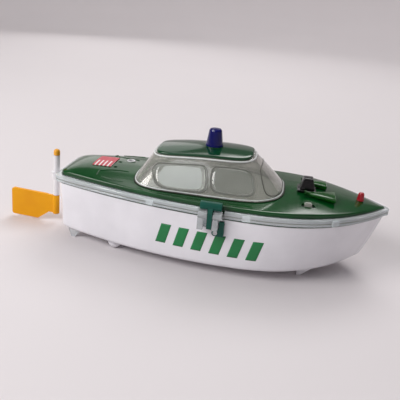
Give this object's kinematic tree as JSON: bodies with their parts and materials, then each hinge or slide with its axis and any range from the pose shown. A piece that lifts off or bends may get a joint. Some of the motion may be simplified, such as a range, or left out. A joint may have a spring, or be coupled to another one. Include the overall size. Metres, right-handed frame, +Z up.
{
  "type": "battery-driven toy patrol boat",
  "caption": "Battery-driven plastic toy patrol boat with a lift-off green deck, clear cabin, beacon, side latches, rudder and propeller",
  "frame": {"origin": "bottom centre of the bounding box, on the ground under the feet", "axes": "+X towards the bow, +Y to port, +Z up"},
  "size_m": [0.3837, 0.138, 0.1226],
  "materials": {
    "white_plastic": "glossy, moulded",
    "clear_plastic": "clear, glossy",
    "green_plastic": "glossy, moulded",
    "roof_green": "very glossy",
    "teal_plastic": "satin, moulded",
    "amber_plastic": "satin, moulded",
    "orange_plastic": "satin, moulded",
    "blue_lens": "clear-tinted, glossy",
    "red_lens": "clear-tinted, glossy",
    "horn_green": "translucent, glossy",
    "black_plastic": "fine-grained",
    "grey_plastic": "fine-grained",
    "seal_rubber": "matt",
    "steel": "drawn",
    "motor_steel": "rolled",
    "copper_wire": "lacquered winding",
    "brass": "pressed strip",
    "cell_sleeve": "shrink sleeve",
    "bulb_glass": "clear",
    "label_red": "printed film",
    "cleat_grey": "plated"
  },
  "bodies": {
    "hull": {"hull_shell": "white_plastic", "gunwale_rim": "clear_plastic", "deck_seal": "seal_rubber", "stern_skids": "clear_plastic", "hull_feet": "white_plastic", "bow_skegs": "white_plastic", "rudder_tube": "white_plastic", "rudder_bracket": "white_plastic", "stern_tube": "brass", "motor_case": "motor_steel", "motor_end_cap": "black_plastic", "motor_saddle": "grey_plastic", "motor_clamp": "steel", "saddle_screws": "steel", "battery_tray": "black_plastic", "battery_cells": "cell_sleeve", "battery_springs": "steel", "battery_plates": "steel", "power_strips": "brass", "latch_cheeks": "clear_plastic", "latch_pins": "steel", "tab_rivets": "steel"},
    "rudder": {"rudder_blade": "amber_plastic", "rudder_shaft": "steel", "rudder_cap": "orange_plastic"},
    "drive": {"propeller": "white_plastic", "prop_shaft": "steel", "shaft_coupling": "black_plastic", "motor_rotor": "copper_wire"},
    "deck": {"deck_shell": "green_plastic", "cabin_floor": "grey_plastic", "cabin_canopy": "clear_plastic", "roof_panel": "roof_green", "beacon_lens": "blue_lens", "beacon_bulb": "bulb_glass", "beacon_holder": "brass", "bow_lamp": "red_lens", "horn_starboard": "horn_green", "horn_port": "horn_green", "switch_body": "black_plastic", "mooring_cleats": "cleat_grey", "deck_label": "label_red", "vent_cup": "white_plastic", "deck_plug_socket": "black_plastic"},
    "switch": {"switch_knob": "black_plastic", "switch_contact": "brass"},
    "latch_s": {"latch_starboard": "teal_plastic"},
    "latch_p": {"latch_port": "teal_plastic"},
    "tab_s": {"turn_tab_starboard": "teal_plastic"},
    "tab_p": {"turn_tab_port": "teal_plastic"}
  },
  "joints": [
    {"name": "rudder_turn", "type": "hinge", "parent": "hull", "child": "rudder", "pos_m": [-0.1397, 0, 0.041], "axis": [0.0523, 0, 0.9986], "range_deg": [-35, 35]},
    {"name": "prop_spin", "type": "hinge", "parent": "hull", "child": "drive", "pos_m": [-0.1274, 0, 0.0255], "axis": [1, 0, 0], "continuous": true},
    {"name": "deck_lift", "type": "slide", "parent": "hull", "child": "deck", "axis": [0, 0, 1], "range_m": [0, 0.05]},
    {"name": "switch_slide", "type": "slide", "parent": "deck", "child": "switch", "axis": [1, 0, 0], "range_m": [-0.003, 0.003]},
    {"name": "latch_starboard_turn", "type": "hinge", "parent": "hull", "child": "latch_s", "pos_m": [0.0326, -0.0662, 0.052], "axis": [1, 0, 0], "range_deg": [0, 140]},
    {"name": "latch_port_turn", "type": "hinge", "parent": "hull", "child": "latch_p", "pos_m": [0.0326, 0.0662, 0.052], "axis": [-1, 0, 0], "range_deg": [0, 140]},
    {"name": "tab_starboard_turn", "type": "hinge", "parent": "hull", "child": "tab_s", "pos_m": [0.0381, -0.0633, 0.046], "axis": [0, 1, 0], "range_deg": [0, 90]},
    {"name": "tab_port_turn", "type": "hinge", "parent": "hull", "child": "tab_p", "pos_m": [0.0381, 0.0633, 0.046], "axis": [0, 1, 0], "range_deg": [0, 90]}
  ],
  "couplings": [
    {"joint": "latch_starboard_turn", "follows": "deck_lift", "rad_per_m": 48.8},
    {"joint": "latch_port_turn", "follows": "deck_lift", "rad_per_m": 48.8}
  ]
}
